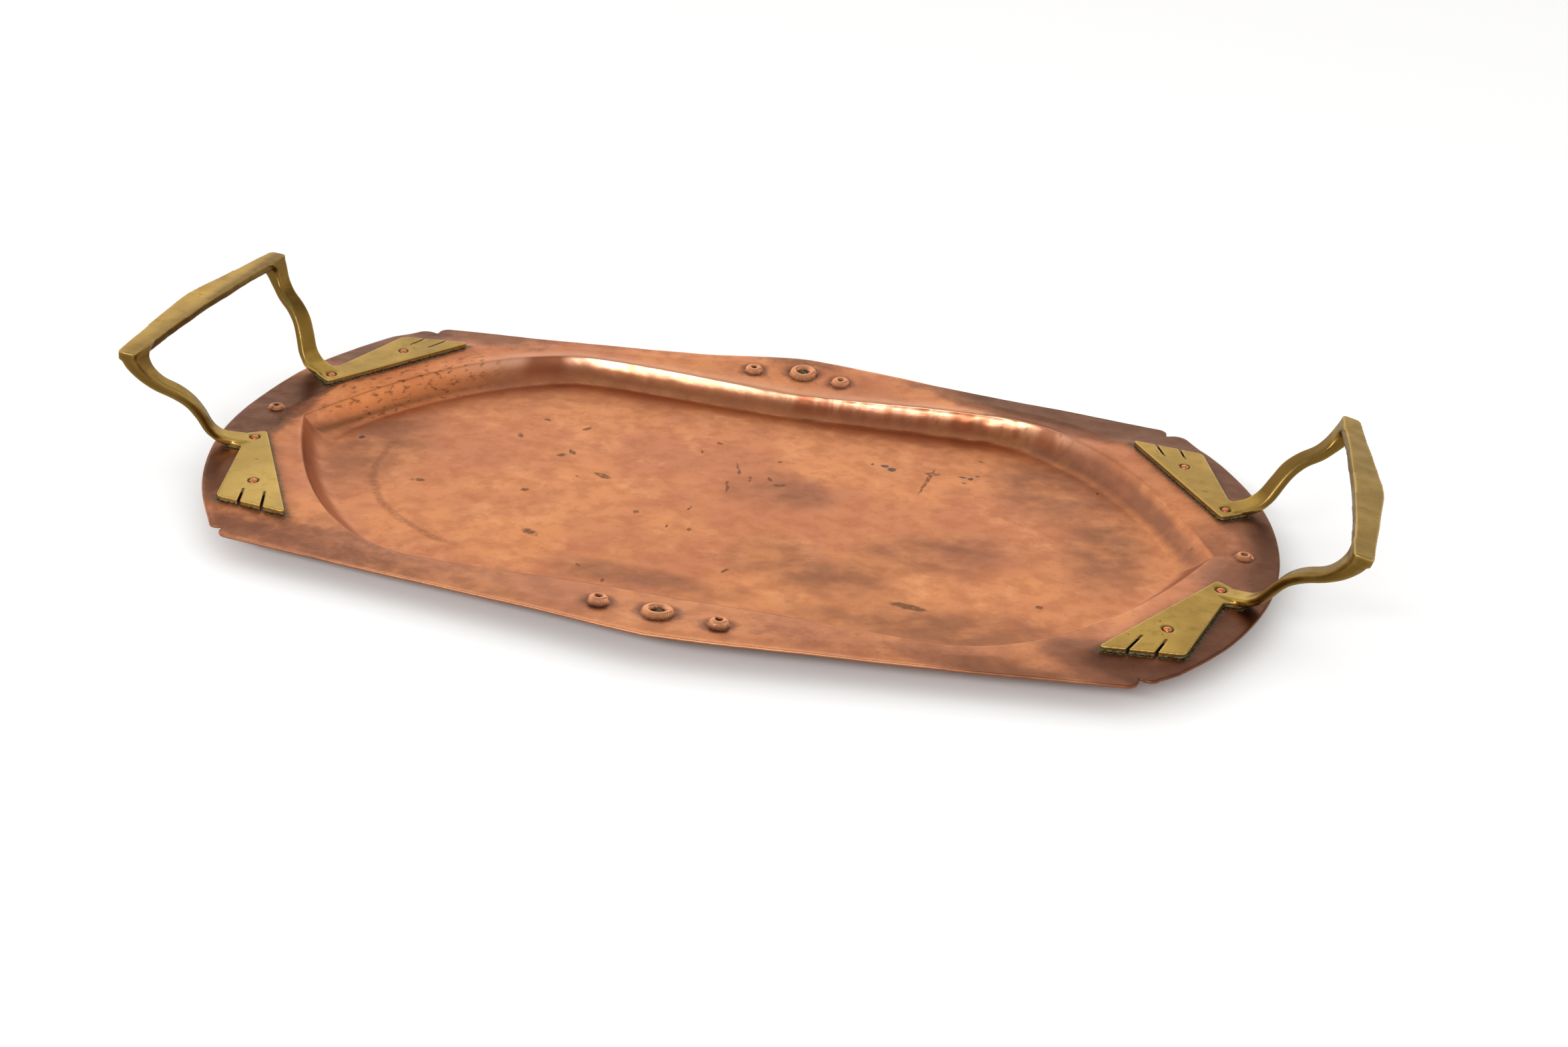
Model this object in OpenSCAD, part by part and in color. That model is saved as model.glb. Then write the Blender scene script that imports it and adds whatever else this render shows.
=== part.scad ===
// Hammered copper tray with two riveted brass handles.
// The origin is the centre of the well's underside, where the tray rests.
// +X runs along the tray towards the right handle, +Y towards the back, +Z up.

/* [Tray] */
// Length of the copper sheet over its two round ends
tray_length = 512; // [500:1:524]
// Width of the copper sheet over the peaks of its long sides
tray_width = 324; // [318:1:330]
// Height of the rim's top above the table
rim_height = 14; // [12:0.5:18]
// Thickness of the copper sheet
sheet = 1.3; // [1:0.1:1.6]
// How much the rim's edge rises at the middle of each long side
middle_rise = 1.5; // [0:0.1:3]

/* [Well] */
// Length of the well between its pointed ends
well_length = 451; // [447:1:455]
// Width of the well at its widest
well_width = 251; // [247:1:253]
// How far each long side of the well is pinched in at its middle
well_pinch = 5; // [0:0.5:8]
// Width of the coved wall along the long sides
wall_run = 12; // [10:0.5:14]

/* [Bosses] */
// Diameter of the two large bosses
large_boss_d = 15; // [14:0.5:16]
// Diameter of the four small bosses beside them
small_boss_d = 10; // [8:0.5:11]
// Diameter of the boss at each end
end_boss_d = 8.5; // [7:0.5:12]

/* [Handles] */
// Thickness of the winged feet
foot_thickness = 2.6; // [2.2:0.1:3.2]
// Width of the leg strap where it leaves the foot
leg_width = 12; // [10:0.5:12.5]
// Thickness of the grip bar
grip_thickness = 4.8; // [3.8:0.1:5.2]
// How much more upright the left handle leans than the right one, in degrees
left_lean = 11; // [0:1:14]
// Slope of the right grip's top face, in degrees, where below 0 is down and out
right_grip_slope = -13; // [-16:1:-8]
// Slope of the left grip's top face, in degrees
left_grip_slope = 3; // [-2:1:6]

/* [Rivets] */
// Diameter of a rivet's shank
shank_d = 3; // [2.6:0.1:3.2]
// Clearance between a shank and its hole, on the radius
shank_clearance = 0.05; // [0.02:0.01:0.1]
// Diameter of a rivet's domed head
head_d = 4.4; // [4:0.1:4.6]
// Height of a rivet's domed head
head_height = 1.3; // [1:0.1:1.6]
// Depth of the dished recess around a head
recess_depth = 0.7; // [0.5:0.1:1]

/* [Hidden] */
$fn = 48;
copper = "#b26e4b";
brass = "#a88d3e";
rivet_copper = "#c2704a";

half_length = tray_length / 2;
half_width = tray_width / 2;
half_well = well_length / 2;
half_well_width = well_width / 2;
foot_top = rim_height + foot_thickness;
through = 40; // long enough to cut right through anything here

// ---- Curves -------------------------------------------------------------

function mix(a, b, t) = a * (1 - t) + b * t;

function bezier(p, t) =
    pow(1 - t, 3) * p[0] + 3 * t * pow(1 - t, 2) * p[1]
    + 3 * t * t * (1 - t) * p[2] + pow(t, 3) * p[3];

function curve(p, n) = [for (i = [0:n]) bezier(p, i / n)];

function arc(centre, r, from, to, n) =
    [for (i = [0:n]) let (a = mix(from, to, i / n)) centre + r * [cos(a), sin(a)]];

// A smooth path through every control point, which may hold any count of numbers
function spline_point(a, b, c, d, t) =
    0.5 * (2 * b + (c - a) * t + (2 * a - 5 * b + 4 * c - d) * t * t
    + (3 * b - a - 3 * c + d) * pow(t, 3));

function spline(p, n) = concat(
    [for (i = [0:len(p) - 2], k = [0:n - 1])
        spline_point(p[max(i - 1, 0)], p[i], p[i + 1], p[min(i + 2, len(p) - 1)], k / n)],
    [p[len(p) - 1]]);

// A polygon with each corner rounded over the length r of its two sides
function rounded(p, r, n = 4) = [
    for (i = [0:len(p) - 1])
        let (
            before = p[(i + len(p) - 1) % len(p)],
            after = p[(i + 1) % len(p)],
            a = p[i] + r * (before - p[i]) / norm(before - p[i]),
            b = p[i] + r * (after - p[i]) / norm(after - p[i])
        )
        for (k = [0:n]) mix(mix(a, p[i], k / n), mix(p[i], b, k / n), k / n)
];

// Four quarters, each from the X axis to the Y axis, joined into one ring.
// Every second quarter runs the other way round, and a shared end is kept once.
function ring_of(quarters) = [
    for (k = [0:3])
        let (q = quarters[k][1], sx = quarters[k][0].x, sy = quarters[k][0].y, n = len(q) - 1)
            for (i = [0:n - 1])
                let (p = sx * sy > 0 ? q[i] : q[n - i]) [sx * p.x, sy * p.y]
];

// ---- The sheet's three outlines, each as one quarter ----------------------

// The sheet was cut by hand, so each corner has its own numbers: [signs of x and y, notch,
// radius of the round end, its reach, height of the peak's foot, radius of the lobe]
corners = [
    [[1, 1], [half_length - 57.8, half_width - 31], 194, half_length, half_width - 7, 6.2],
    [[-1, 1], [half_length - 51, half_width - 36.5], 234, half_length - 2, half_width - 12, 6.2],
    [[-1, -1], [half_length - 53, half_width - 33.7], 203, half_length - 2, half_width - 9, 4],
    [[1, -1], [half_length - 56, half_width - 34.5], 194, half_length, half_width - 7.6, 4.5]
];
peak_foot_x = 62;
corner_radius = 5.2;

// A round end runs into a lobe, then the notch, then the long side's corner and its peak
function outline_quarter(c) =
    let (
        notch = c[1],
        r = c[2],
        lobe = notch + c[5] * [0.85, -0.74],
        corner = notch + [-5.6, 3],
        end_sweep = asin((notch.y - 2 * c[5]) / r),
        side_start = corner + corner_radius * [cos(80), sin(80)],
        foot = [peak_foot_x, c[4]],
        slope = (foot.y - side_start.y) / (side_start.x - foot.x)
    )
    concat(
        arc([c[3] - r, 0], r, 0, end_sweep, 11),
        arc(lobe, c[5], 25, 112, 4),
        [notch],
        arc(corner, corner_radius, -15, 80, 4),
        [for (i = [1:6]) mix(side_start, foot, i / 6)],
        [for (i = [1:6]) bezier([foot, foot + [-20, 20 * slope], [20, half_width - 1.6],
            [0, half_width]], i / 6)]);

lip_quarter = concat(
    curve([[half_well, 0], [half_well - 26, 65], [160, half_well_width],
        [110, half_well_width]], 24),
    [for (i = [1:12]) bezier([[110, half_well_width], [70, half_well_width],
        [45, half_well_width - well_pinch], [0, half_well_width - well_pinch]], i / 12)]);

// The floor's edge follows the lip, and is rounder at the pointed ends
floor_half_width = half_well_width - wall_run;
floor_quarter = concat(
    curve([[half_well - 17.5, 0], [half_well - 23.5, 42], [148, floor_half_width],
        [104, floor_half_width]], 24),
    [for (i = [1:12]) bezier([[104, floor_half_width], [66, floor_half_width],
        [43, floor_half_width - well_pinch], [0, floor_half_width - well_pinch]], i / 12)]);

// Each outline as a table of direction and radius
function by_angle(q) = [for (p = q) [atan2(p.y, p.x), norm(p)]];
lip_table = by_angle(lip_quarter);
floor_table = by_angle(floor_quarter);

function towards(table, p) =
    let (a = atan2(abs(p.y), abs(p.x)), r = lookup(a, table)) r * p / norm(p);

// ---- Heights ----------------------------------------------------------------

// The rim is level under the feet, and dips towards the lip inside that
level_share_ends = 0.68;
level_share_middle = 0.1;
level_from_x = 160;
function level_share(x) =
    mix(level_share_middle, level_share_ends, min(abs(x) / level_from_x, 1));

// The lip's drop below the rim: deepest at the middle, then at the tips
widest_x = 110;
drop_least = 0.75;
drop_middle = 3;
drop_tip = 2;
function lip_drop(x) = abs(x) < widest_x
    ? mix(drop_middle, drop_least, 1 - pow(1 - abs(x) / widest_x, 2))
    : drop_least + (drop_tip - drop_least) * pow((abs(x) - widest_x) / (half_well - widest_x), 2);

rise_reach = 120;
function edge_rise(x) =
    abs(x) < rise_reach ? middle_rise * pow(cos(90 * abs(x) / rise_reach), 2) : 0;

// t runs from 0 at the sheet's edge to 1 at the well's lip
function rim_z(p, t) = let (s = level_share(p.x))
    rim_height + edge_rise(p.x) * (1 - t) - lip_drop(p.x) * max(0, (t - s) / (1 - s));

function same_side(c, p) = c[0].x * p.x >= 0 && c[0].y * p.y >= 0;

function rim_z_at(p) =
    let (
        corner = [for (c = corners) if (same_side(c, p)) c][0],
        edge = norm(towards(by_angle(outline_quarter(corner)), p)),
        lip = norm(towards(lip_table, p))
    )
    rim_z(p, (edge - norm(p)) / (edge - lip));

// ---- Tray -------------------------------------------------------------------

// Stations from the edge inwards: 0 to 1 is the rim, 1 to 2 the wall, 2 to 3 the floor
stations = [0, 0.35, 0.68, 0.84, 1, 1.1, 1.25, 1.45, 1.7, 2, 2.5];
outline = ring_of([for (c = corners) [c[0], outline_quarter(c)]]);
count = len(outline);

function plan(o, s) =
    let (lip = towards(lip_table, o), inner = towards(floor_table, o))
    s <= 1 ? mix(o, lip, s) : s <= 2 ? mix(lip, inner, s - 1) : inner * (3 - s);

function top_z(o, s) =
    let (lip = towards(lip_table, o))
    s <= 1 ? rim_z(plan(o, s), s)
    : s < 2 ? mix(rim_z(lip, 1), sheet, sin(90 * (s - 1)))
    : sheet;

function top_point(o, s) = let (p = plan(o, s)) [p.x, p.y, top_z(o, s)];

// The wall's slope angle, halved at the lip, where the rim and the wall meet
function wall_angle(s) =
    s < 1 || s >= 2 ? 0
    : atan((rim_height / wall_run) * (PI / 2) * cos(90 * (s - 1))) * (s == 1 ? 0.5 : 1);

// The underside lies one sheet thickness from the top, square to the surface
function under_point(o, s) =
    let (
        p = plan(o, s),
        lip = towards(lip_table, o),
        inner = towards(floor_table, o),
        out = (lip - inner) / norm(lip - inner),
        a = wall_angle(s),
        q = p + sheet * sin(a) * out
    )
    [q.x, q.y, top_z(o, s) - sheet * cos(a)];

function ring_faces(first, second) = [
    for (i = [0:count - 1])
        let (j = (i + 1) % count)
        each [
            [first + i, first + j, second + j],
            [first + i, second + j, second + i]
        ]
];

module sheet_body() {
    last = len(stations) - 1;
    under = (last + 1) * count;
    top_centre = 2 * under;
    points = concat(
        [for (s = stations, o = outline) top_point(o, s)],
        [for (s = stations, o = outline) under_point(o, s)],
        [[0, 0, sheet], [0, 0, 0]]);
    faces = concat(
        [for (k = [0:last - 1]) each ring_faces((k + 1) * count, k * count)],
        [for (k = [0:last - 1]) each ring_faces(under + k * count, under + (k + 1) * count)],
        ring_faces(0, under),
        [for (i = [0:count - 1])
            [last * count + (i + 1) % count, last * count + i, top_centre]],
        [for (i = [0:count - 1])
            [under + last * count + i, under + last * count + (i + 1) % count, top_centre + 1]]);
    polyhedron(points, faces, convexity = 6);
}

// Each boss is [x, y, diameter, height, dimple diameter, its shape], set out by eye.
// A shape is [the crest's place from the middle, the dimple rim's height], both as shares.
ring_shape = [0.64, 0.5];
dome_shape = [0.46, 0.88];
large_bosses = [
    [0, half_width - 17.8, large_boss_d, 2.4, 6.2, ring_shape],
    [0, 22.6 - half_width, large_boss_d, 2.4, 6.2, ring_shape]
];
small_bosses = [
    [-26.5, half_width - 22.8, small_boss_d, 2.1, 3, dome_shape],
    [21.8, half_width - 22.8, small_boss_d, 2.1, 3, dome_shape],
    [-26, 22.6 - half_width, small_boss_d, 3.1, 3.2, dome_shape],
    [27, 19.9 - half_width, small_boss_d, 3.1, 3.2, dome_shape]
];
end_boss_x = half_length - 16.2;
bosses = concat(
    large_bosses,
    small_bosses,
    [for (x = [end_boss_x, -end_boss_x]) [x, 0, end_boss_d, 1.6, 3, dome_shape]]);

// Height of the flat bottom of a boss's dimple
function dimple_floor(b) = b[3] * b[5][1] - min(b[4] / 3, 1.3);

// A ring or a dome with a dimple in it, whose foot is sunk into the sheet
module boss_dome(b, root) {
    r = b[2] / 2;
    crest = r * b[5][0];
    dimple_r = b[4] / 2;
    rotate_extrude()
        polygon(concat(
            [[0, -root], [r, -root]],
            [for (i = [0:6]) let (a = mix(90, 0, i / 6))
                [crest + (r - crest) * sin(a), b[3] * cos(a)]],
            [[dimple_r, b[3] * b[5][1]],
                [dimple_r * 0.55, dimple_floor(b)],
                [0, dimple_floor(b)]]));
}

// The hollow behind a boss, one sheet thickness inside it
module boss_hollow(b) {
    r = b[2] / 2 - sheet;
    crest = b[2] / 2 * b[5][0];
    dimple_r = b[4] / 2;
    rotate_extrude()
        polygon([
            [0, -2 * sheet],
            [r, -2 * sheet],
            [r, 0.2 * b[3]],
            [mix(crest, r, 0.6), 0.75 * b[3] - 0.6 * sheet],
            [crest, b[3] - sheet],
            [dimple_r * 0.9, b[3] * b[5][1] - sheet],
            [dimple_r * 0.5, dimple_floor(b) - sheet],
            [0, dimple_floor(b) - sheet]
        ]);
}

module tray() {
    color(copper) difference() {
        union() {
            sheet_body();
            for (b = bosses)
                translate([b[0], b[1], rim_z_at([b[0], b[1]])])
                    boss_dome(b, sheet * 0.6);
        }
        for (b = bosses)
            translate([b[0], b[1], rim_z_at([b[0], b[1]])])
                boss_hollow(b);
        for (sx = [-1, 1], sy = [-1, 1], at = [elbow_rivet, wing_rivet])
            translate([sx * at.x, sy * at.y, 0])
                cylinder(h = through, r = shank_d / 2 + shank_clearance);
    }
}

// ---- Handles ------------------------------------------------------------------

elbow_rivet = [half_length - 26.2, 43];
wing_rivet = [half_length - 47.4, 87.3];

// The foot's outline: elbow outside the bend, inner tip, outer tip, elbow inside the bend
foot_outline = [
    [half_length - 28, 34],
    [half_length - 75, 112],
    [half_length - 39, 107],
    [half_length - 24.5, 53.5],
    [half_length - 16.5, 54],
    [half_length - 14.5, 45]
];
foot_rounding = 3;
// Each slit runs in from the foot's end edge: [its place there, how far it leans, its length]
slits = [[0.34, 5, 13.5], [0.67, 3.4, 11.5]];
slit_mouth = 1.4;
slit_tip = 0.7;

// The leg's path in the rim's frame: [x, y, z, width, thickness, turn of its width].
// It flares under the grip, so that the inner corner is a round one.
leg_path = [
    [half_length - 25.5, 44.5, 1.5, leg_width - 1.5, 2.4, 30],
    [half_length - 15, 49.6, 3.2, leg_width - 1, 3.8, 30],
    [half_length - 8.5, 53, 7.5, leg_width - 1.7, 4.8, 28],
    [half_length - 4, 55.8, 14.5, leg_width - 2, 5, 26],
    [half_length + 0.5, 59, 21, leg_width - 2, 5, 24],
    [half_length + 6.5, 62.4, 25.6, leg_width - 2, 5.2, 20],
    [half_length + 13.5, 66, 28.8, leg_width - 2, 5.6, 15],
    [half_length + 19, 69.2, 33.3, leg_width - 1.5, 6.6, 8],
    [half_length + 23, 70.9, 38.3, leg_width + 0.5, 8, 3],
    [half_length + 24.8, 69.8, 41.2, leg_width + 3.5, 8.8, 1],
    [half_length + 26, 67.3, 43.2, leg_width + 8.5, 9, 0]
];
leg_steps = 3;

// The handle is bent about this line, which runs along Y
bend = [half_length - 13, 0, rim_height + 4];
bend_from = half_length - 18;
bend_to = half_length - 4;
grip_half = 77.8;
grip_corner = [half_length + 21.5, rim_height + 45.9];

function leaned(p, lean) =
    let (
        a = lean * max(0, min(1, (p.x - bend_from) / (bend_to - bend_from))),
        d = p - bend
    )
    bend + [d.x * cos(a) - d.z * sin(a), d.y, d.x * sin(a) + d.z * cos(a)];

// One ring of the strap: a rectangle with its corners taken off
function strap_ring(centre, along, w, h, turn) =
    let (
        side = [-sin(turn), cos(turn), 0],
        up = cross(along, side) / norm(cross(along, side)),
        c = min(w, h) * 0.2
    )
    [for (q = [[1, 0.5], [0.5, 1], [-0.5, 1], [-1, 0.5],
            [-1, -0.5], [-0.5, -1], [0.5, -1], [1, -0.5]])
        let (
            u = sign(q[0]) * (w / 2 - (abs(q[0]) < 1 ? c : 0)),
            v = sign(q[1]) * (h / 2 - (abs(q[1]) < 1 ? c : 0))
        )
        centre + u * side + v * up];

module leg(lean) {
    path = spline(leg_path, leg_steps);
    centres = [for (p = path) leaned([p[0], p[1], p[2] + rim_height], lean)];
    n = len(path);
    rings = [for (i = [0:n - 1])
        let (along = centres[min(i + 1, n - 1)] - centres[max(i - 1, 0)])
        strap_ring(centres[i], along / norm(along), path[i][3], path[i][4], path[i][5])];
    faces = concat(
        [[for (k = [0:7]) k]],
        [for (i = [0:n - 2], k = [0:7]) let (m = (k + 1) % 8)
            each [[i * 8 + k, (i + 1) * 8 + k, (i + 1) * 8 + m],
                [i * 8 + k, (i + 1) * 8 + m, i * 8 + m]]],
        [[for (k = [7:-1:0]) (n - 1) * 8 + k]]);
    polyhedron([for (r = rings) each r], faces, convexity = 4);
}

// Seen square to its top face: the inner edge bows a little, the outer one is bluntly bent
grip_rounding = 2.6;
grip_outline = [
    [0, -grip_half], [9.3, -grip_half], [17, -8], [17.4, 0], [17, 8], [9.3, grip_half],
    [0, grip_half], [2.4, 40], [3.2, 0], [2.4, -40]
];

module grip(lean, slope) {
    corner = leaned([grip_corner.x, 0, grip_corner.y], lean);
    translate(corner)
        rotate([0, -slope, 0])
            translate([0, 0, -grip_thickness])
                linear_extrude(grip_thickness)
                    polygon(rounded(grip_outline, grip_rounding));
}

module slit(s) {
    start = mix(foot_outline[1], foot_outline[2], s[0]);
    tip = start + [s[1], -s[2]];
    over = start - 0.15 * (tip - start);
    translate([0, 0, rim_height - 1])
        linear_extrude(foot_thickness + 2)
            polygon([over - [slit_mouth / 2, 0], over + [slit_mouth / 2, 0],
                tip + [slit_tip / 2, 0], tip - [slit_tip / 2, 0]]);
}

module foot() {
    difference() {
        translate([0, 0, rim_height])
            linear_extrude(foot_thickness)
                polygon(rounded(foot_outline, foot_rounding));
        for (s = slits)
            slit(s);
    }
}

module rivet_seat(at) {
    translate([at.x, at.y, 0])
        cylinder(h = through, r = shank_d / 2 + shank_clearance);
    translate([at.x, at.y, foot_top - recess_depth])
        cylinder(h = recess_depth + 0.4, r1 = head_d / 2 + 0.1, r2 = head_d / 2 + 1.5);
}

// The right handle stands on +X; the left one is its mirror image, leaned up further
module handle(lean, slope) {
    color(brass) difference() {
        union() {
            grip(lean, slope);
            for (side = [0, 1])
                mirror([0, side, 0]) {
                    foot();
                    leg(lean);
                }
        }
        for (sy = [-1, 1], at = [elbow_rivet, wing_rivet])
            rivet_seat([at.x, sy * at.y]);
    }
}

module right_handle() {
    handle(0, right_grip_slope);
}

module left_handle() {
    mirror([1, 0, 0])
        handle(left_lean, left_grip_slope);
}

// ---- Rivets ---------------------------------------------------------------------

tail_d = 4.8;
tail_height = 1;

// The head sits in the foot's recess, and the tail is peened under the sheet
module rivet(sx, sy, at) {
    under = rim_height - sheet;
    seat = foot_top - recess_depth;
    color(rivet_copper)
        translate([sx * at.x, sy * at.y, 0])
            rotate_extrude()
                polygon(concat(
                    [for (i = [0:5]) let (a = i * 18)
                        [tail_d / 2 * sin(a), under - tail_height * cos(a)]],
                    [[shank_d / 2, under], [shank_d / 2, seat]],
                    [for (i = [5:-1:0]) let (a = i * 18)
                        [head_d / 2 * sin(a), seat + head_height * cos(a)]]));
}

module rivet_left_front_elbow() { rivet(-1, -1, elbow_rivet); }
module rivet_left_front_wing() { rivet(-1, -1, wing_rivet); }
module rivet_left_back_elbow() { rivet(-1, 1, elbow_rivet); }
module rivet_left_back_wing() { rivet(-1, 1, wing_rivet); }
module rivet_right_front_elbow() { rivet(1, -1, elbow_rivet); }
module rivet_right_front_wing() { rivet(1, -1, wing_rivet); }
module rivet_right_back_elbow() { rivet(1, 1, elbow_rivet); }
module rivet_right_back_wing() { rivet(1, 1, wing_rivet); }

tray();
left_handle();
right_handle();
rivet_left_front_elbow();
rivet_left_front_wing();
rivet_left_back_elbow();
rivet_left_back_wing();
rivet_right_front_elbow();
rivet_right_front_wing();
rivet_right_back_elbow();
rivet_right_back_wing();
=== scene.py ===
"""Looks of a hammered copper tray with two riveted brass handles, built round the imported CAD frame.

Lengths are in millimetres until a mesh is made. The origin is the centre of the well's underside,
+X runs towards the right handle, +Y towards the back, +Z up.
"""

import math

import bpy
import numpy as np
from mathutils import Matrix, Vector


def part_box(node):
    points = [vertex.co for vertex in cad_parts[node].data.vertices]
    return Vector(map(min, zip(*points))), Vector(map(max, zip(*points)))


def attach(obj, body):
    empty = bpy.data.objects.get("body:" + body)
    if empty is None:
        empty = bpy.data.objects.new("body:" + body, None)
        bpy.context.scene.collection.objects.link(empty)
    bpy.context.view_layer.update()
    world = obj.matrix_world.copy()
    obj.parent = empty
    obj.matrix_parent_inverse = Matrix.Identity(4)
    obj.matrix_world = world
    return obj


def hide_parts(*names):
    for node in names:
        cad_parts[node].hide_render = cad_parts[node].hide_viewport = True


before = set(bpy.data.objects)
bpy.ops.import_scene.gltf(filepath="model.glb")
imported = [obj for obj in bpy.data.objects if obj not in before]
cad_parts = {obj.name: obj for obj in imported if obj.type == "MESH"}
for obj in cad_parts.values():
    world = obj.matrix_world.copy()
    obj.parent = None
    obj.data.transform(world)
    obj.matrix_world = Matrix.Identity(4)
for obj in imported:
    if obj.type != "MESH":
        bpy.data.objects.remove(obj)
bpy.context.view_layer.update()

MM = 0.001

# ---- Sizes ----

half_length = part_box("tray")[1].x / MM
half_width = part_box("tray")[1].y / MM
rim_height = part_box("right_handle")[0].z / MM
sheet = 1.3
middle_rise = 1.5

half_well = half_length - 30.5
half_well_width = half_width - 36.5
well_pinch = 5
wall_run = 12

# Each corner of the sheet: signs of x and y, notch, radius of the round end, its reach,
# height of the peak's foot, radius of the lobe beside the notch
corners = [
    ((1, 1), (half_length - 57.8, half_width - 31), 194, half_length, half_width - 7, 6.2),
    ((-1, 1), (half_length - 51, half_width - 36.5), 234, half_length - 2, half_width - 12, 6.2),
    ((-1, -1), (half_length - 53, half_width - 33.7), 203, half_length - 2, half_width - 9, 4),
    ((1, -1), (half_length - 56, half_width - 34.5), 194, half_length, half_width - 7.6, 4.5),
]
peak_foot_x = 62
corner_radius = 5.2

# A boss's shape: place of its crest and height of its dimple's rim, as shares
ring_shape, dome_shape = (0.64, 0.5), (0.46, 0.88)
# Each boss: x, y, diameter, height, dimple diameter, shape
bosses = [
    (0, half_width - 17.8, 15, 2.4, 6.2, ring_shape),
    (0, 22.6 - half_width, 15, 2.4, 6.2, ring_shape),
    (-26.5, half_width - 22.8, 10, 2.1, 3, dome_shape),
    (21.8, half_width - 22.8, 10, 2.1, 3, dome_shape),
    (-26, 22.6 - half_width, 10, 3.1, 3.2, dome_shape),
    (27, 19.9 - half_width, 10, 3.1, 3.2, dome_shape),
    (half_length - 16.2, 0, 8.5, 1.6, 3, dome_shape),
    (16.2 - half_length, 0, 8.5, 1.6, 3, dome_shape),
]

# A foot's outline, seen from above, on the back right corner
foot_outline = np.array([
    (half_length - 28, 34),
    (half_length - 75, 112),
    (half_length - 39, 107),
    (half_length - 24.5, 53.5),
    (half_length - 16.5, 54),
    (half_length - 14.5, 45),
])
foot_thickness = 2.6
slits = [(0.34, 5, 13.5), (0.67, 3.4, 11.5)]  # place along the foot's end edge, lean, length
rivet_places = [(half_length - 26.2, 43), (half_length - 47.4, 87.3)]
rivet_head_radius = 2.2

# ---- Curves and fields ----


def mix(a, b, t):
    return a * (1 - t) + b * t


def smooth_step(low, high, value):
    t = np.clip((value - low) / (high - low), 0, 1)
    return t * t * (3 - 2 * t)


def bezier(points, count):
    p = np.array(points, float)
    t = np.linspace(0, 1, count)[:, None]
    return (
        (1 - t) ** 3 * p[0]
        + 3 * t * (1 - t) ** 2 * p[1]
        + 3 * t * t * (1 - t) * p[2]
        + t**3 * p[3]
    )


def line(start, end, count):
    return mix(np.array(start, float), np.array(end, float), np.linspace(0, 1, count)[:, None])


def arc(centre, radius, start, end, count):
    a = np.radians(np.linspace(start, end, count))
    return np.array(centre, float) + radius * np.stack([np.cos(a), np.sin(a)], 1)


def waves(x, y, size, seed, count=16):
    """A smooth random field between about -1 and 1, with swells about `size` across."""
    rng = np.random.default_rng(seed)
    total = np.zeros(np.shape(x))
    for turn, stretch, phase in rng.random((count, 3)):
        turn, phase = 2 * math.pi * turn, 2 * math.pi * phase
        k = 2 * math.pi / size * mix(0.5, 1.2, stretch)
        total = total + np.sin(k * (x * math.cos(turn) + y * math.sin(turn)) + phase)
    return total / math.sqrt(2 * count)


def dents(u, v, seed, tilt=0.5, wrap=None):
    """Hammer marks one unit apart: the height of (u, v) over the marks' lowest bottoms.

    Each unit cell holds one shallow bowl with its own place, depth and tilt. The lowest bowl
    shows, so that neighbours meet in crisp ridges. wrap is the count of cells after which u
    starts again."""
    table = np.random.default_rng(seed).random((61, 61, 5))
    cell_u, cell_v = np.floor(u).astype(int), np.floor(v).astype(int)
    lowest = np.full(np.shape(u), 9.0)
    for step_u in (-1, 0, 1):
        for step_v in (-1, 0, 1):
            cu, cv = cell_u + step_u, cell_v + step_v
            draw = table[(cu % wrap if wrap else cu) % 61, cv % 61]
            pu = u - cu - mix(0.15, 0.85, draw[..., 0])
            pv = v - cv - mix(0.15, 0.85, draw[..., 1])
            lean = (draw[..., 3] - 0.5) * pu + (draw[..., 4] - 0.5) * pv
            lowest = np.minimum(lowest, pu**2 + pv**2 + 0.25 * draw[..., 2] + tilt * lean)
    return lowest


def blob(x, y, at, size, turn=0):
    """1 at the middle of a soft ellipse, falling to 0 at its rim. turn is in degrees."""
    c, s = math.cos(math.radians(turn)), math.sin(math.radians(turn))
    dx, dy = x - at[0], y - at[1]
    d2 = ((dx * c + dy * s) / size[0]) ** 2 + ((dy * c - dx * s) / size[1]) ** 2
    return np.clip(1 - d2, 0, 1) ** 1.5


def distance_to_line(x, y, start, end):
    edge = end - start
    t = np.clip(((x - start[0]) * edge[0] + (y - start[1]) * edge[1]) / (edge @ edge), 0, 1)
    return np.hypot(x - start[0] - t * edge[0], y - start[1] - t * edge[1])


def distance_to_outline(x, y, outline):
    """Distance to a closed outline, below 0 inside it."""
    best = np.full(np.shape(x), 1e9)
    inside = np.zeros(np.shape(x), bool)
    for a, b in zip(outline, np.roll(outline, -1, 0)):
        edge = b - a
        best = np.minimum(best, distance_to_line(x, y, a, b))
        crosses = (a[1] > y) != (b[1] > y)
        level = edge[1] if abs(edge[1]) > 1e-9 else 1e-9
        inside ^= crosses & (x < a[0] + (y - a[1]) * edge[0] / level)
    return np.where(inside, -best, best)


# ---- The sheet's outlines ----


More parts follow.
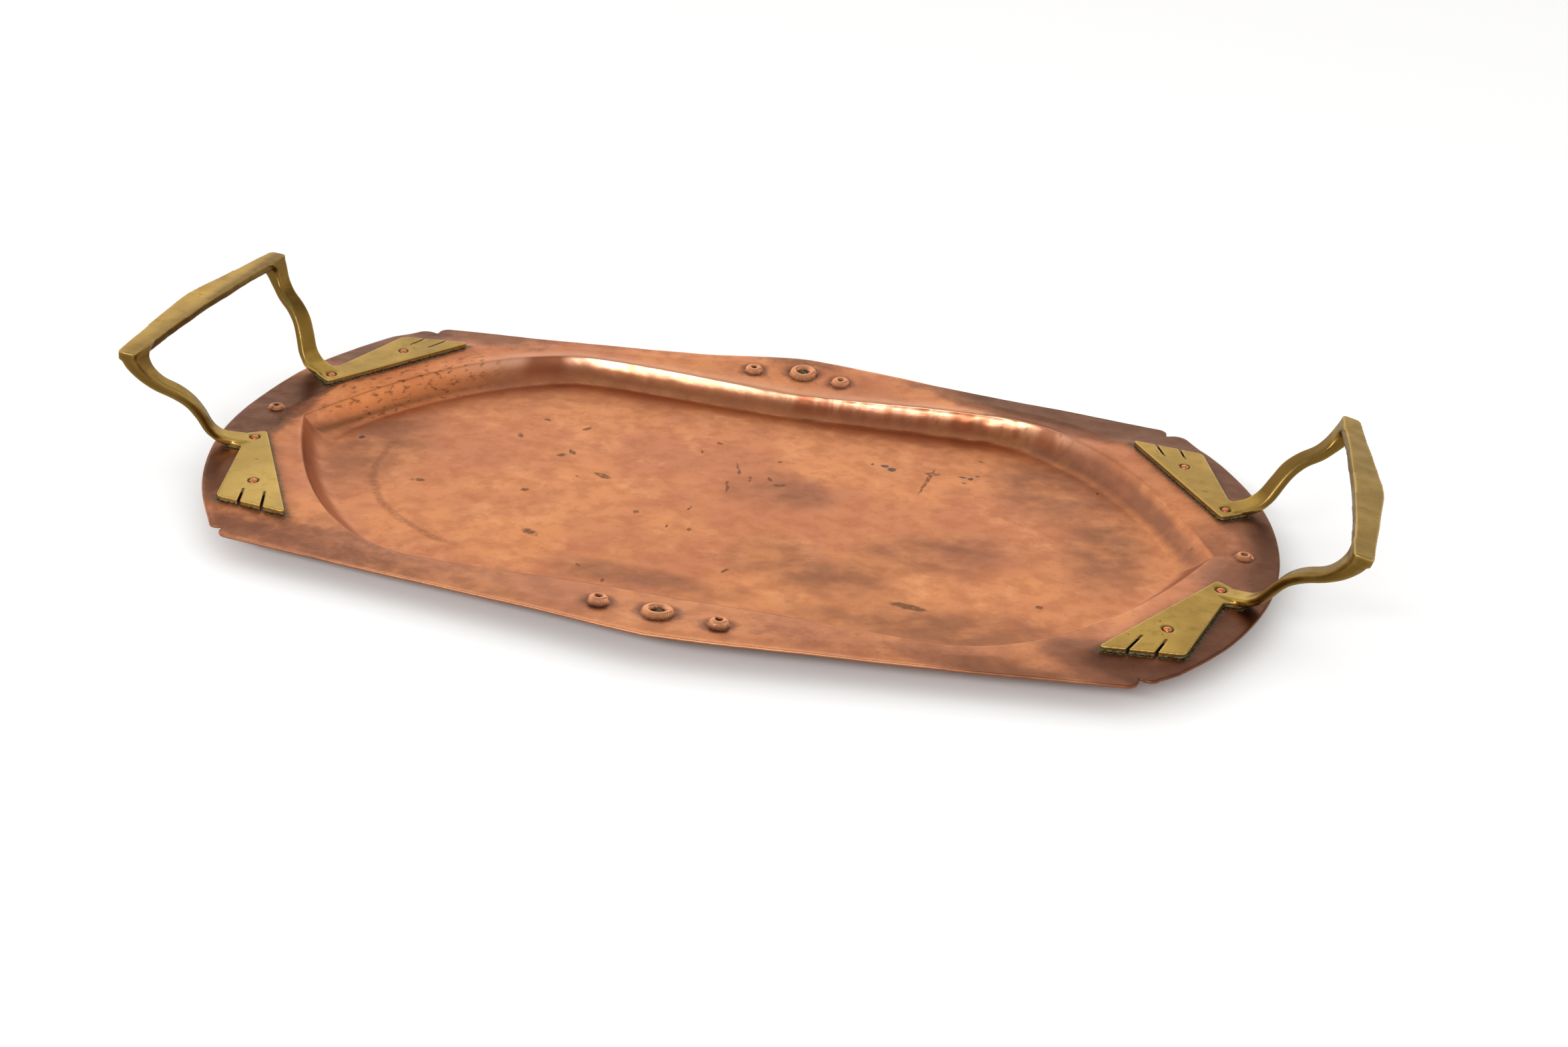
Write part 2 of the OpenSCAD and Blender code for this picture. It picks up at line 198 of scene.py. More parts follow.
def outline_quarter(corner):
    """From the X axis to the Y axis: round end, lobe, notch, corner, straight side and peak."""
    _, notch, end_radius, reach, foot_y, lobe_radius = corner
    notch = np.array(notch)
    lobe = notch + lobe_radius * np.array([0.85, -0.74])
    corner_centre = notch + [-5.6, 3]
    sweep = math.degrees(math.asin((notch[1] - 2 * lobe_radius) / end_radius))
    round_corner = arc(corner_centre, corner_radius, -15, 80, 30)
    side_start = round_corner[-1]
    foot = np.array([peak_foot_x, foot_y])
    slope = (foot[1] - side_start[1]) / (side_start[0] - foot[0])
    peak = [foot, foot + [-20, 20 * slope], [20, half_width - 1.6], [0, half_width]]
    return np.concatenate([
        arc((reach - end_radius, 0), end_radius, 0, sweep, 200),
        arc(lobe, lobe_radius, 25, 112, 30),
        [notch],
        round_corner,
        line(side_start, foot, 120)[1:],
        bezier(peak, 120)[1:],
    ])


def well_quarter(tip, tip_pull, wide_x, shoulder_x, wide_y, waist_x, waist_pull):
    """From the well's pointed tip on the X axis to its pinched middle on the Y axis."""
    return np.concatenate([
        bezier([(tip, 0), tip_pull, (shoulder_x, wide_y), (wide_x, wide_y)], 300),
        bezier([(wide_x, wide_y), (waist_x, wide_y), (waist_pull, wide_y - well_pinch),
                (0, wide_y - well_pinch)], 150)[1:],
    ])


lip_quarter = well_quarter(
    half_well, (half_well - 26, 65), 110, 160, half_well_width, 70, 45)
floor_quarter = well_quarter(
    half_well - 17.5, (half_well - 23.5, 42), 104, 148, half_well_width - wall_run, 66, 43)


def sheet_outline():
    """The sheet's whole outline, anticlockwise from +X, and its four notch points."""
    ring = []
    for k, corner in enumerate(corners):
        quarter = outline_quarter(corner) * np.array(corner[0])
        ring.append(quarter[:-1] if k % 2 == 0 else quarter[::-1][:-1])
    notches = np.array([np.array(c[1]) * np.array(c[0]) for c in corners])
    return np.concatenate(ring), notches


def spaced_outline(count):
    """The outline as `count` points, closer together beside the bosses and the notches."""
    ring, notches = sheet_outline()
    closed = np.concatenate([ring, ring[:1]])
    length = np.concatenate([[0], np.cumsum(np.linalg.norm(np.diff(closed, axis=0), axis=1))])
    fine = np.linspace(0, length[-1], 20000)
    x, y = np.interp(fine, length, closed[:, 0]), np.interp(fine, length, closed[:, 1])
    density = 1 + 1.3 * (np.abs(x) < 37) + 1.6 * (np.abs(y) < 9)
    for notch in notches:
        density += 1.2 * (np.hypot(x - notch[0], y - notch[1]) < 14)
    share = np.concatenate([[0], np.cumsum(density)[:-1]])
    at = np.interp(np.arange(count) / count, share / share[-1], fine)
    points = np.stack([np.interp(at, length, closed[:, 0]), np.interp(at, length, closed[:, 1])], 1)
    for notch in notches:
        points[np.argmin(np.linalg.norm(points - notch, axis=1))] = notch
    return points


def radius_towards(quarter, points):
    """How far a well outline lies from the origin, in each point's direction."""
    angle = np.arctan2(quarter[:, 1], quarter[:, 0])
    direction = np.arctan2(np.abs(points[:, 1]), np.abs(points[:, 0]))
    return np.interp(direction, angle, np.hypot(quarter[:, 0], quarter[:, 1]))


# ---- The sheet's heights ----

level_share_middle, level_share_ends, level_from_x = 0.1, 0.68, 160
widest_x = 110
drop_least, drop_middle, drop_tip = 0.75, 3, 2
rise_reach = 120


def rim_z(x, t):
    """Height of the rim. t runs from 0 at the sheet's edge to 1 at the lip."""
    ax = np.abs(x)
    level = mix(level_share_middle, level_share_ends, np.minimum(ax / level_from_x, 1))
    near = mix(drop_middle, drop_least, 1 - (1 - np.minimum(ax / widest_x, 1)) ** 2)
    past = np.maximum(ax - widest_x, 0) / (half_well - widest_x)
    drop = np.where(ax < widest_x, near, drop_least + (drop_tip - drop_least) * past**2)
    rise = middle_rise * np.cos(np.radians(90 * np.minimum(ax / rise_reach, 1))) ** 2
    return rim_height + rise * (1 - t) - drop * np.maximum(0, (t - level) / (1 - level))


dimple_ease = 0.14  # how round a dimple's rim is


def boss_height(rho, boss, radius_less=0.0, height_less=0.0):
    """Height of a boss over the rim at rho from its middle: a ring or dome with a dimple."""
    radius, height, dimple = boss[2] / 2 - radius_less, boss[3] - height_less, boss[4] / 2
    crest, rim_share = boss[5]
    t, edge = rho / radius, dimple / radius
    outside = np.sqrt(np.clip(1 - ((t - crest) / (1 - crest)) ** 2, 0, 1))
    inside = 1 - (1 - rim_share) * np.clip((crest - t) / (crest - edge), 0, 1) ** 2
    ring = height * np.where(t > crest, outside, inside)
    bowl = height * rim_share - min(boss[4] / 3, 1.3) * (1 - (rho / dimple) ** 2)
    eased = -dimple_ease * np.log(np.exp(-ring / dimple_ease) + np.exp(-bowl / dimple_ease))
    return np.maximum(eased, 0) * (rho < radius)


def feet():
    """The four feet's outlines."""
    return [foot_outline * np.array(signs) for signs in ((1, 1), (-1, 1), (-1, -1), (1, -1))]


def slit_lines():
    """Start and tip of the two slits of the back right foot."""
    lines = []
    for place, lean, length in slits:
        start = mix(foot_outline[1], foot_outline[2], place)
        lines.append((start, start + np.array([lean, -length])))
    return lines


def distance_to_feet(x, y):
    best = np.full(np.shape(x), 1e9)
    for outline in feet():
        best = np.minimum(best, distance_to_outline(x, y, outline))
    return best


# ---- Mesh making ----


def mesh_object(name, points, faces, smooth=True):
    """A mesh piece from points in millimetres."""
    mesh = bpy.data.meshes.new(name)
    mesh.from_pydata((np.asarray(points) * MM).tolist(), [], faces)
    mesh.validate()
    if smooth:
        mesh.shade_smooth()
    piece = bpy.data.objects.new(name, mesh)
    bpy.context.scene.collection.objects.link(piece)
    return piece


def grid_faces(rows, columns):
    """Faces of a grid whose rows are closed rings, with a fan over each end."""
    column = np.arange(columns)
    after = (column + 1) % columns
    faces = []
    for row in range(rows - 1):
        a, b = row * columns, (row + 1) * columns
        faces += np.stack([a + column, a + after, b + after, b + column], 1).tolist()
    first, last = rows * columns, rows * columns + 1
    end = (rows - 1) * columns
    faces += np.stack([after, column, np.full(columns, first)], 1).tolist()
    faces += np.stack([end + column, end + after, np.full(columns, last)], 1).tolist()
    return faces


def add_mask(piece, name, values):
    """Stores one number per point, which the materials read."""
    attribute = piece.data.attributes.new(name, "FLOAT", "POINT")
    attribute.data.foreach_set("value", np.clip(values, 0, 1).astype(np.float32).ravel())


def grid_normals(grid):
    """Upward normals of a (rows, columns, 3) grid of closed rings."""
    along = np.roll(grid, -1, 1) - np.roll(grid, 1, 1)
    across = np.gradient(grid, axis=0)
    normal = np.cross(along, across)
    normal /= np.linalg.norm(normal, axis=2, keepdims=True) + 1e-12
    return normal * np.where(normal[..., 2:] < 0, -1, 1)


# ---- Tray ----

columns = 1100
lip_band = 10  # width of the rim's inner band, whose rows keep one spacing
rows_outer, rows_band, rows_wall, rows_floor = 32, 14, 26, 62
edge_inset = 0.55
lip_rounds = 4
cove_share = 0.55  # how far the wall is steep at its top with a long cove below
facet_width = 8.5
# Depths of the wall's facets and their chop, the planishing, the close marks and the sway
facet_depth, chop_depth, planish_depth, close_depth, sway_depth = 0.55, 0.08, 0.17, 0.10, 0.30
edge_profile = [(0.14, 0.13), (0, 0.45), (0, 0.85), (0.14, 1.17)]  # inset and drop


def top_rows(outline, lip, floor, inset):
    """Distances from the origin of the top's rows, edge first, with each row's zone.

    A zone from 0 to 1 is the rim, 1 to 2 the wall and 2 to 3 the floor."""
    edge = np.hypot(outline[:, 0], outline[:, 1]) - inset
    band = lip + lip_band
    distance = [mix(edge, band, k / rows_outer) for k in range(rows_outer)]
    zone = [0.8 * k / rows_outer for k in range(rows_outer)]
    distance += [mix(band, lip, k / rows_band) for k in range(rows_band)]
    zone += [0.8 + 0.2 * k / rows_band for k in range(rows_band)]
    distance += [mix(lip, floor, k / rows_wall) for k in range(rows_wall)]
    zone += [1 + k / rows_wall for k in range(rows_wall)]
    inward = [(k / rows_floor) ** 1.25 for k in range(rows_floor)]
    distance += [floor * (1 - k) for k in inward]
    zone += [2 + k for k in inward]
    return np.array(distance), np.array(zone)[:, None] * np.ones(len(outline))


def sheet_base():
    """The sheet's top without hammering or bosses, as rows of points, and each point's zone."""
    outline = spaced_outline(columns)
    unit = outline / np.hypot(outline[:, 0], outline[:, 1])[:, None]
    lip = radius_towards(lip_quarter, outline)
    floor = radius_towards(floor_quarter, outline)
    edge = np.hypot(outline[:, 0], outline[:, 1])
    distance, zone = top_rows(outline, lip, floor, edge_inset)
    x, y = distance * unit[:, 0], distance * unit[:, 1]
    rim = rim_z(x, np.clip((edge - distance) / (edge - lip), 0, 1))
    lip_z = rim_z(lip * unit[:, 0], 1)
    fall = np.clip((lip - distance) / (lip - floor), 0, 1)
    wall = mix(sheet, lip_z, mix(1 - np.sin(0.5 * math.pi * fall), (1 - fall) ** 2.4, cove_share))
    base = np.stack([x, y, np.where(zone < 1, rim, wall)], 2)
    return outline, unit, soften_lip(base, zone), zone


def soften_lip(base, zone):
    """Rounds the crease between the rim and the wall, and the wall's foot."""
    weight = np.exp(-((zone[:, :, None] - 1) / 0.16) ** 2) * (zone[:, :, None] < 1.9)
    for _ in range(lip_rounds):
        inner = base[1:-1]
        pull = 0.5 * (base[:-2] + base[2:]) - inner
        base[1:-1] = inner + 0.5 * weight[1:-1] * pull
    return base


def snap_to_bosses(points):
    """Moves points that lie beside a boss's foot or its dimple's rim onto that circle."""
    x, y = points[..., 0], points[..., 1]
    for boss in bosses:
        dx, dy = x - boss[0], y - boss[1]
        rho = np.hypot(dx, dy) + 1e-9
        for radius, reach in ((boss[2] / 2, 0.42), (boss[4] / 2, 0.3)):
            near = np.abs(rho - radius) < reach
            x += np.where(near, dx / rho * (radius - rho), 0)
            y += np.where(near, dy / rho * (radius - rho), 0)


def hammering(base, zone, feet_distance):
    """How far each point is beaten in below the smooth sheet."""
    x, y = base[..., 0], base[..., 1]
    rim_zone = zone < 1
    row = base[rows_outer + rows_band]
    step = np.linalg.norm(np.roll(row, -1, 0) - row, axis=1)
    around = np.concatenate([[0], np.cumsum(step)[:-1]])
    cells = round(step.sum() / facet_width)
    u = around / step.sum() * cells * np.ones(np.shape(x))
    down = np.concatenate([np.zeros((1, base.shape[1])), np.cumsum(
        np.linalg.norm(np.diff(base, axis=0), axis=2), axis=0)])
    down = down - down[rows_outer + rows_band]
    facets = facet_depth * (1 - dents(u, down / 26 + 0.35, 5, 0.9, cells))
    facets = facets * mix(0.55, 1.4, smooth_step(-5, 30, x))
    facets = facets * mix(1, 0.1, smooth_step(115, 150, np.abs(x)))
    chop = chop_depth * (1 - dents(u * 2.6, down / 4, 6, 0.8))
    chop += 0.10 * (1 + waves(around * np.ones(np.shape(x)), down * 0.4, 22, 14))
    far_share = mix(0.3, 1, smooth_step(-30, 60, y))
    wall_share = smooth_step(0.97, 1.10, zone) * (1 - smooth_step(1.55, 1.95, zone)) * far_share
    planish = planish_depth * (1 - dents(x / 12 + 0.2 * y / 12, y / 12 - 0.2 * x / 12, 7))
    rough_left = blob(x, y, (-200, 0), (70, 120)) + blob(x, y, (205, -10), (60, 110)) * 0.5
    close = close_depth * (1 - dents(x / 6.5, y / 6.5, 8)) * rough_left
    sway = sway_depth * (1 + waves(x, y, 90, 9)) + 0.10 * (1 + waves(x, y, 32, 10))
    free = smooth_step(0, 14, feet_distance)
    flat_share = np.where(rim_zone, smooth_step(0, 5, feet_distance), 1.0)
    ground = mix(0.35, 1, rim_zone)
    return (
        wall_share * (facets + chop)
        + (1 - wall_share) * flat_share * (planish + np.where(rim_zone, 0.5, 1) * close)
        + sway * ground * np.where(rim_zone, free, smooth_step(2.9, 2.0, zone))
    )


def add_tray():
    outline, unit, base, zone = sheet_base()
    snap_to_bosses(base[:rows_outer + rows_band])
    x, y = base[..., 0], base[..., 1]
    feet_distance = distance_to_feet(x, y)
    normals = grid_normals(base)
    top = base - normals * hammering(base, zone, feet_distance)[..., None]
    top[..., 2] = np.maximum(top[..., 2], 0.45 * sheet)
    for boss in bosses:
        top[..., 2] += boss_height(np.hypot(x - boss[0], y - boss[1]), boss)

    edge_z = top[0, :, 2]
    reach = np.hypot(outline[:, 0], outline[:, 1])
    edge = [
        np.stack([unit[:, 0] * (reach - inset), unit[:, 1] * (reach - inset), edge_z - drop], 1)
        for inset, drop in edge_profile
    ]

    rows_under = np.concatenate([
        np.arange(0, rows_outer, 2),
        np.arange(rows_outer, rows_outer + rows_band + rows_wall, 2),
        np.arange(rows_outer + rows_band + rows_wall, len(base), 4),
    ])
    smooth = base.copy()
    smooth[..., 2] -= 0.3 * (zone < 1) * smooth_step(0, 14, feet_distance)
    under = (smooth - sheet * normals)[rows_under]
    ux, uy = under[..., 0], under[..., 1]
    under[..., 2] += 0.12 * waves(ux, uy, 14, 12) * (zone[rows_under] < 2)
    for boss in bosses:
        rho = np.hypot(ux - boss[0], uy - boss[1])
        under[..., 2] += boss_height(rho, boss, sheet * 0.9, sheet * 0.5)
    under[..., 2] = np.maximum(under[..., 2], 0)

    # Rows run from the top's centre out to the edge, and back in underneath
    grid = np.concatenate([top[::-1], edge, under])
    rows = len(grid)
    points = np.concatenate([grid.reshape(-1, 3), [[0, 0, top[-1, :, 2].mean()], [0, 0, 0]]])
    tray = mesh_object("hammered_tray", points, grid_faces(rows, columns))

    zones = np.concatenate([zone[::-1], np.zeros((len(edge), columns)), zone[rows_under]])
    below = np.concatenate([np.zeros(len(top)), np.linspace(0.2, 0.8, len(edge)),
                            np.ones(len(rows_under))])[:, None] * np.ones(columns)
    masks = tray_masks(grid, zones, below)
    for name, values in masks.items():
        ends = values[0].mean(), values[-1].mean()
        add_mask(tray, name, np.concatenate([values.ravel(), ends]))
    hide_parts("tray")
    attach(tray, "root")
    tray.data.materials.append(copper_material())
    return tray


# Soft dark patina on the rim: middle, half sizes and turn of each patch, and its strength
patina_patches = [
    ((-246, 4), (26, 60), 0, 1.6),
    ((-232, 28), (9, 26), -20, 1.3),
    ((-238, -26), (16, 22), 0, 1.0),
    ((-240, -78), (24, 58), 20, 0.95),
    ((-208, -128), (46, 18), 20, 0.25),
    ((-226, 96), (28, 56), -32, 1.6),
    ((-186, 130), (60, 18), 0, 0.7),
    ((-164, -130), (80, 28), -8, 0.4),
    ((256, 0), (22, 78), 0, 1.1),
    ((244, 40), (20, 28), 0, 0.65),
    ((238, -30), (26, 30), 0, 0.5),
    ((226, 4), (30, 50), 0, 0.4),
    ((238, -84), (26, 62), -22, 2.0),
    ((200, -124), (60, 24), -20, 1.2),
    ((150, -142), (70, 18), -8, 0.6),
    ((228, 96), (28, 64), 30, 1.7),
    ((176, 134), (110, 30), -6, 1.4),
    ((128, 148), (106, 23), -5, 0.75),
    ((-4, 158), (40, 10), 0, 0.55),
    ((-120, 146), (100, 13), 5, 0.35),
    ((60, -140), (60, 14), 0, 0.2),
]


# Painted dark bars breaking the far wall's painted lip highlight: x, half width and strength
painted_dull_bars = [(-138, 14, 1.0), (-92, 3, 0.4), (7, 8, 1.0), (17, 5, 0.8), (31, 3, 0.6),
             (39, 2, 0.5), (52, 3, 0.6), (60, 2, 0.5), (71, 4, 0.7), (92, 10, 1.0),
             (103, 4, 0.8), (137, 7, 0.8)]


def boss_masks(x, y, rim, patina_and_halo_shade, grime_and_shade, green):
    """Adds each boss's dark foot, soft halo and dark dimple, all partly painted shade, and its dome,
    paler from polish and a painted sheen.
    """
    polish_and_sheen = np.zeros(np.shape(x))
    for boss in bosses:
        rho = np.hypot(x - boss[0], y - boss[1])
        radius, dimple = boss[2] / 2, boss[4] / 2
        # Painted shade: a thin dark line at the boss's foot
        foot = np.exp(-((rho - radius - 0.3) / 0.9) ** 2)
        # Painted shade, partly patina: a soft dark halo round the boss
        halo_shade = np.exp(-((rho - radius - 0.8) / 3.4) ** 2) * (rho > radius)
        grime_and_shade = np.maximum(grime_and_shade, 0.50 * foot * rim)
        patina_and_halo_shade = np.maximum(patina_and_halo_shade, 0.50 * halo_shade)
        # The dimple darkened: partly dirt, partly painted shade
        pit = smooth_step(1.14, 0.94, rho / dimple)
        grime_and_shade = np.maximum(grime_and_shade, pit * rim)
        green = np.maximum(green, smooth_step(0.85, 0.5, rho / dimple) * rim * (boss[2] > 12))
        # The dome paler: partly polish, partly a painted sheen
        shoulder = smooth_step(0.98, 0.80, rho / radius) * (1 - pit)
        polish_and_sheen = np.maximum(polish_and_sheen, (0.9 if boss[3] > 2 else 0.6) * shoulder * rim)
        patina_and_halo_shade = np.where(rho < radius, 0.25 * patina_and_halo_shade, patina_and_halo_shade)
    return patina_and_halo_shade, grime_and_shade, green, polish_and_sheen


def cove_shade_mask(x, y, zone, rim, top, away):
    """Painted shade in a band along the foot of the far wall, heavier at the right end, and a darker
    front rim.
    """
    right_end = smooth_step(110, 165, x)
    darkest = mix(1.74, 1.42, right_end)
    cove_shade = np.exp(-(((zone - darkest) / mix(0.34, 0.26, right_end)) ** 2)) * top
    cove_shade = cove_shade * mix(0.2, 1, smooth_step(-40, 60, y)) * mix(0.5, 1.6, right_end)
    near_rim = rim * smooth_step(-90, -125, y) * mix(0.72, 0.36, smooth_step(-110, -20, x))
    return np.maximum(cove_shade, near_rim * smooth_step(9, 12, away))


def painted_lip_masks(x, y, zone, top):
    """Painted highlight: a paler, rosier lip along the far wall, with painted dark bars and ragged
    stretches that break it up.
    """
    far = smooth_step(70, 100, y) * top
    lip = np.exp(-(((zone - 1.06) / 0.17) ** 2)) * far * smooth_step(175, 135, x)
    painted_dull = sum(k * smooth_step(wide, 0.4 * wide, np.abs(x - at)) for at, wide, k in painted_dull_bars)
    ragged = waves(x, 0.5 * y, 6, 33) + 0.6 * waves(x, 0.5 * y, 2.6, 34)
    painted_dark_bars = np.maximum(painted_dull, 0.65 * smooth_step(0.2, 1.0, ragged) * smooth_step(-20, 10, x))
    painted_dark_bars = painted_dark_bars * smooth_step(0.99, 1.04, zone) * (1 - smooth_step(1.35, 1.7, zone)) * far
    return lip, painted_dark_bars * smooth_step(165, 135, x)


def tray_masks(grid, zone, below):
    """The tray's masks, by name. Each is a number from 0 to 1 at each of the sheet's points."""
    x, y = grid[..., 0], grid[..., 1]
    top = 1 - below
    rim = (zone < 1) * top
    away = distance_to_feet(x, y)
    patina_and_halo_shade = sum(share * blob(x, y, at, size, turn) for at, size, turn, share in patina_patches)
    grime_and_shade = 0.9 * np.exp(-np.maximum(away - 0.3, 0) / 2.2) * rim
    green = np.exp(-((away - 0.6) / 0.9) ** 2) * rim * 0.7
    patina_and_halo_shade, grime_and_shade, green, polish_and_sheen = boss_masks(x, y, rim, patina_and_halo_shade, grime_and_shade, green)
    # The sheet's outer edge paler: partly polish, partly a painted highlight
    edge = np.exp(-((zone / 0.045) ** 2)) * top
    polish_and_sheen = np.maximum(polish_and_sheen, 0.8 * edge * smooth_step(0.6, 0.1, patina_and_halo_shade))
    # Painted shade just below the lip on the front left wall
    under_lip_shade = np.exp(-(((zone - 1.10) / 0.07) ** 2)) * top * smooth_step(-60, -150, x)
    grime_and_shade = np.maximum(grime_and_shade, 0.5 * under_lip_shade * smooth_step(10, -30, y))
    wall = smooth_step(1.08, 1.3, zone) * (1 - smooth_step(1.5, 1.9, zone)) * top
    lip, painted_dark_bars = painted_lip_masks(x, y, zone, top)
    return {
        "patina_and_halo_shade": patina_and_halo_shade * rim,
        "grime_and_shade": grime_and_shade,
        "polish_and_sheen": polish_and_sheen,
        "green": green,
        # The far wall's band, which the material darkens as painted shade
        "wall": wall * smooth_step(-30, 50, y),
        # A painted highlight along the far wall's lip
        "lip": lip,
        "painted_dark_bars": painted_dark_bars,
        "cove_shade": cove_shade_mask(x, y, zone, rim, top, away),
        "below": below,
    }


# ---- Handles ----


def mesh_arrays(mesh):
    points = np.empty(len(mesh.vertices) * 3, np.float32)
    mesh.vertices.foreach_get("co", points)
    edges = np.empty(len(mesh.edges) * 2, np.int32)
    mesh.edges.foreach_get("vertices", edges)
    return points.reshape(-1, 3).astype(float) / MM, edges.reshape(-1, 2)


def neighbour_mean(points, edges):
    """The mean of each point's neighbours."""
    total = np.zeros_like(points)
    count = np.zeros(len(points))
    for a, b in (edges.T, edges.T[::-1]):
        for axis in range(3):
            total[:, axis] += np.bincount(a, points[b, axis], len(points))
        count += np.bincount(a, minlength=len(points))
    return total / np.maximum(count, 1)[:, None]


def remeshed_copy(node, name, voxel):
    """A fine, even copy of a CAD node's mesh, as a new object."""
    copy = bpy.data.objects.new(name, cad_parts[node].data.copy())
    bpy.context.scene.collection.objects.link(copy)
    remesh = copy.modifiers.new("even", "REMESH")
    remesh.mode = "VOXEL"
    remesh.voxel_size = voxel * MM
    evaluated = copy.evaluated_get(bpy.context.evaluated_depsgraph_get())
    mesh = bpy.data.meshes.new_from_object(evaluated)
    copy.modifiers.clear()
    copy.data = mesh
    mesh.name = name
    return copy


def point_normals(mesh):
    normals = np.empty(len(mesh.vertices) * 3, np.float32)
    mesh.vertices.foreach_get("normal", normals)
    return normals.reshape(-1, 3).astype(float)


handle_voxel = 0.4
foot_rounds, bar_rounds, grip_rounds = 2, 16, 10


def eased_shape(points, edges):
    """Rounds the casting's edges: least on the feet, most along the grip."""
    bar = smooth_step(rim_height + 3.4, rim_height + 5.5, points[:, 2])[:, None]
    for k in range(bar_rounds):
        share = 1 if k < foot_rounds else bar
        points += 0.55 * share * (neighbour_mean(points, edges) - points)
        points -= 0.42 * share * bar * (neighbour_mean(points, edges) - points)
    along_grip = smooth_step(66, 58, np.abs(points[:, 1]))[:, None] * bar
    for _ in range(grip_rounds):
        share = mix(0.25, 0.55, along_grip) * bar
        points += share * (neighbour_mean(points, edges) - points)
    return bar


def seam_distance(points):
    """Distance from the nearest slit or rivet head, seen from above."""
    across = np.abs(points[:, 0])
    best = np.full(len(points), 9.0)
    for side in (1, -1):
        for start, tip in slit_lines():
            ends = np.array([start, tip]) * [1, side]
            best = np.minimum(best, distance_to_line(across, points[:, 1], *ends))
    for rivet_at in rivet_places:
        rho = np.hypot(across - rivet_at[0], np.abs(points[:, 1]) - rivet_at[1])
        best = np.minimum(best, np.maximum(rho - rivet_head_radius, 0))
    return best


def handle_masks(points, normals, ridge):
    """The casting's masks, by name: sides darkened as tarnish and painted shade, dirt, worn edges
    with a paler front left foot, hollows and crust.
    """
    above = points[:, 2] - rim_height
    # Sides darker than the tops: painted shade, partly tarnish
    flank_tarnish_and_shade = smooth_step(0.75, 0.35, normals[:, 2]) * smooth_step(2.2, 6, above)
    inboard = smooth_step(half_length + 22, half_length + 16, np.abs(points[:, 0]))
    front_left = (points[:, 0] < 0) & (points[:, 1] < 0)
    # Darker legs, feet and right grip top, set by place: partly the metal's tone, partly painted
    # shade
    leg_tone = np.where(front_left, 0.65, 1.1)
    foot_tone = np.where(front_left, 0, 0.25)
    grip_tone = np.where(points[:, 0] > 0, 0.36, 0)
    flank_tarnish_and_shade = np.maximum(flank_tarnish_and_shade, leg_tone * smooth_step(4, 12, above) * inboard)
    flank_tarnish_and_shade = np.maximum(flank_tarnish_and_shade, foot_tone * smooth_step(6, 3, above))
    flank_tarnish_and_shade = np.maximum(flank_tarnish_and_shade, grip_tone * smooth_step(26, 34, above))
    dirt = smooth_step(0.9, 0.3, seam_distance(points)) * (above < foot_thickness + 0.4)
    # Painted light, partly the metal's own tone: the front left foot paler
    lit_front_left_foot = 0.7 * front_left * smooth_step(6, 3, above)
    return {
        "flank_tarnish_and_shade": flank_tarnish_and_shade,
        "dirt": dirt,
        "worn_and_lit": np.maximum(smooth_step(0.02, 0.30, ridge), lit_front_left_foot),
        "hollow": smooth_step(0.02, 0.26, -ridge),
        "low": smooth_step(1.7, 0.2, above) * smooth_step(0.9, 0.3, normals[:, 2]),
    }


def add_handle(node, name, seed):
    """A casting with eased edges and a filed surface, made from the CAD handle's own shape."""
    handle = remeshed_copy(node, name, handle_voxel)
    points, edges = mesh_arrays(handle.data)
    bar = eased_shape(points, edges)
    handle.data.vertices.foreach_set("co", (points * MM).ravel())
    handle.data.update()
    normals = point_normals(handle.data)
    blurred = points.copy()
    for _ in range(14):
        blurred += 0.6 * (neighbour_mean(blurred, edges) - blurred)
    ridge = np.einsum("ij,ij->i", points - blurred, normals)
    filed = 0.04 * waves(points[:, 1] + points[:, 2], points[:, 0] - points[:, 2], 13, seed)
    filed += 0.16 * waves(points[:, 1], points[:, 2] + points[:, 0], 30, seed + 1)
    points -= normals * (np.maximum(filed + 0.12, 0) * bar[:, 0])[:, None]
    handle.data.vertices.foreach_set("co", (points * MM).ravel())
    handle.data.update()
    handle.data.shade_smooth()
    for mask, values in handle_masks(points, normals, ridge).items():
        add_mask(handle, mask, values)
    handle.data.materials.clear()
    handle.data.materials.append(bpy.data.materials.get("brass") or brass_material())
    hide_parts(node)
    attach(handle, "root")
    return handle


# ---- Rivets ----

rivet_head_height = 1.3
rivet_tail_height = 1.0
rivet_segments, rivet_rings = 56, 15
head_share, shank_share = 0.917, 0.625  # radii over the tail's


